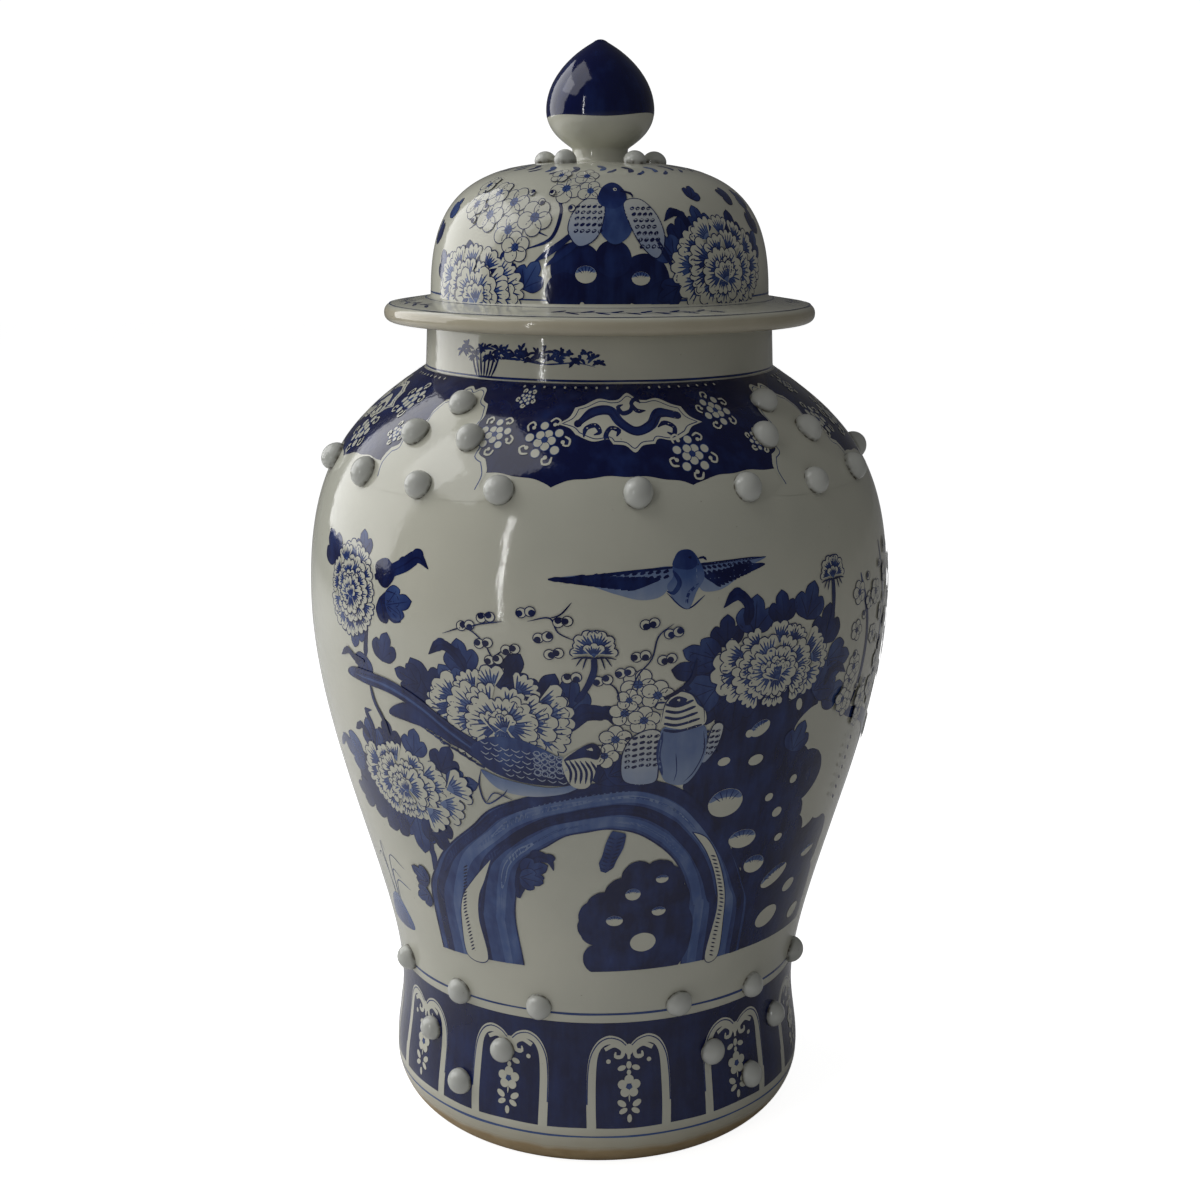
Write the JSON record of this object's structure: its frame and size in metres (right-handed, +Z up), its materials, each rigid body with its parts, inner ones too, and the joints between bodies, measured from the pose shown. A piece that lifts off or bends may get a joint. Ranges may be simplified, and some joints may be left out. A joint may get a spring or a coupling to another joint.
{
  "type": "ginger jar",
  "caption": "Tall lidded ginger jar in glazed porcelain, waisted foot, full shoulder, short neck, flanged dome lid with bud finial and applied bosses.",
  "frame": {"origin": "centre of the foot ring, on the plane the jar stands on", "axes": "+Z up along the jar's axis, -Y to the front of the painted scheme"},
  "size_m": [0.327, 0.3268, 0.604],
  "materials": {
    "blue_white_glaze": "clear glossy glaze over hand-painted cobalt blue on white porcelain",
    "boss_glaze": "clear glossy glaze on plain porcelain, thin on the crowns",
    "cobalt_glaze": "deep cobalt under clear glossy glaze",
    "bare_clay": "unglazed fired clay, matt, buff"
  },
  "bodies": {
    "jar": {"foot_section": "blue_white_glaze", "belly_section": "blue_white_glaze", "shoulder_section": "blue_white_glaze", "neck_collar": "blue_white_glaze", "shoulder_bosses_1": "boss_glaze", "shoulder_bosses_2": "boss_glaze", "shoulder_bosses_3": "boss_glaze", "shoulder_bosses_4": "boss_glaze", "foot_bosses_1": "boss_glaze", "foot_bosses_2": "boss_glaze", "foot_bosses_3": "boss_glaze", "foot_bosses_4": "boss_glaze", "lobe_bosses": "boss_glaze"},
    "lid": {"lid_shell": "blue_white_glaze", "lid_locating_ring": "bare_clay", "finial": "cobalt_glaze", "lid_bosses": "boss_glaze"}
  },
  "joints": [
    {"name": "lid_lift", "type": "slide", "parent": "jar", "child": "lid", "axis": [0, 0, 1], "range_m": [0, 0.2]}
  ]
}
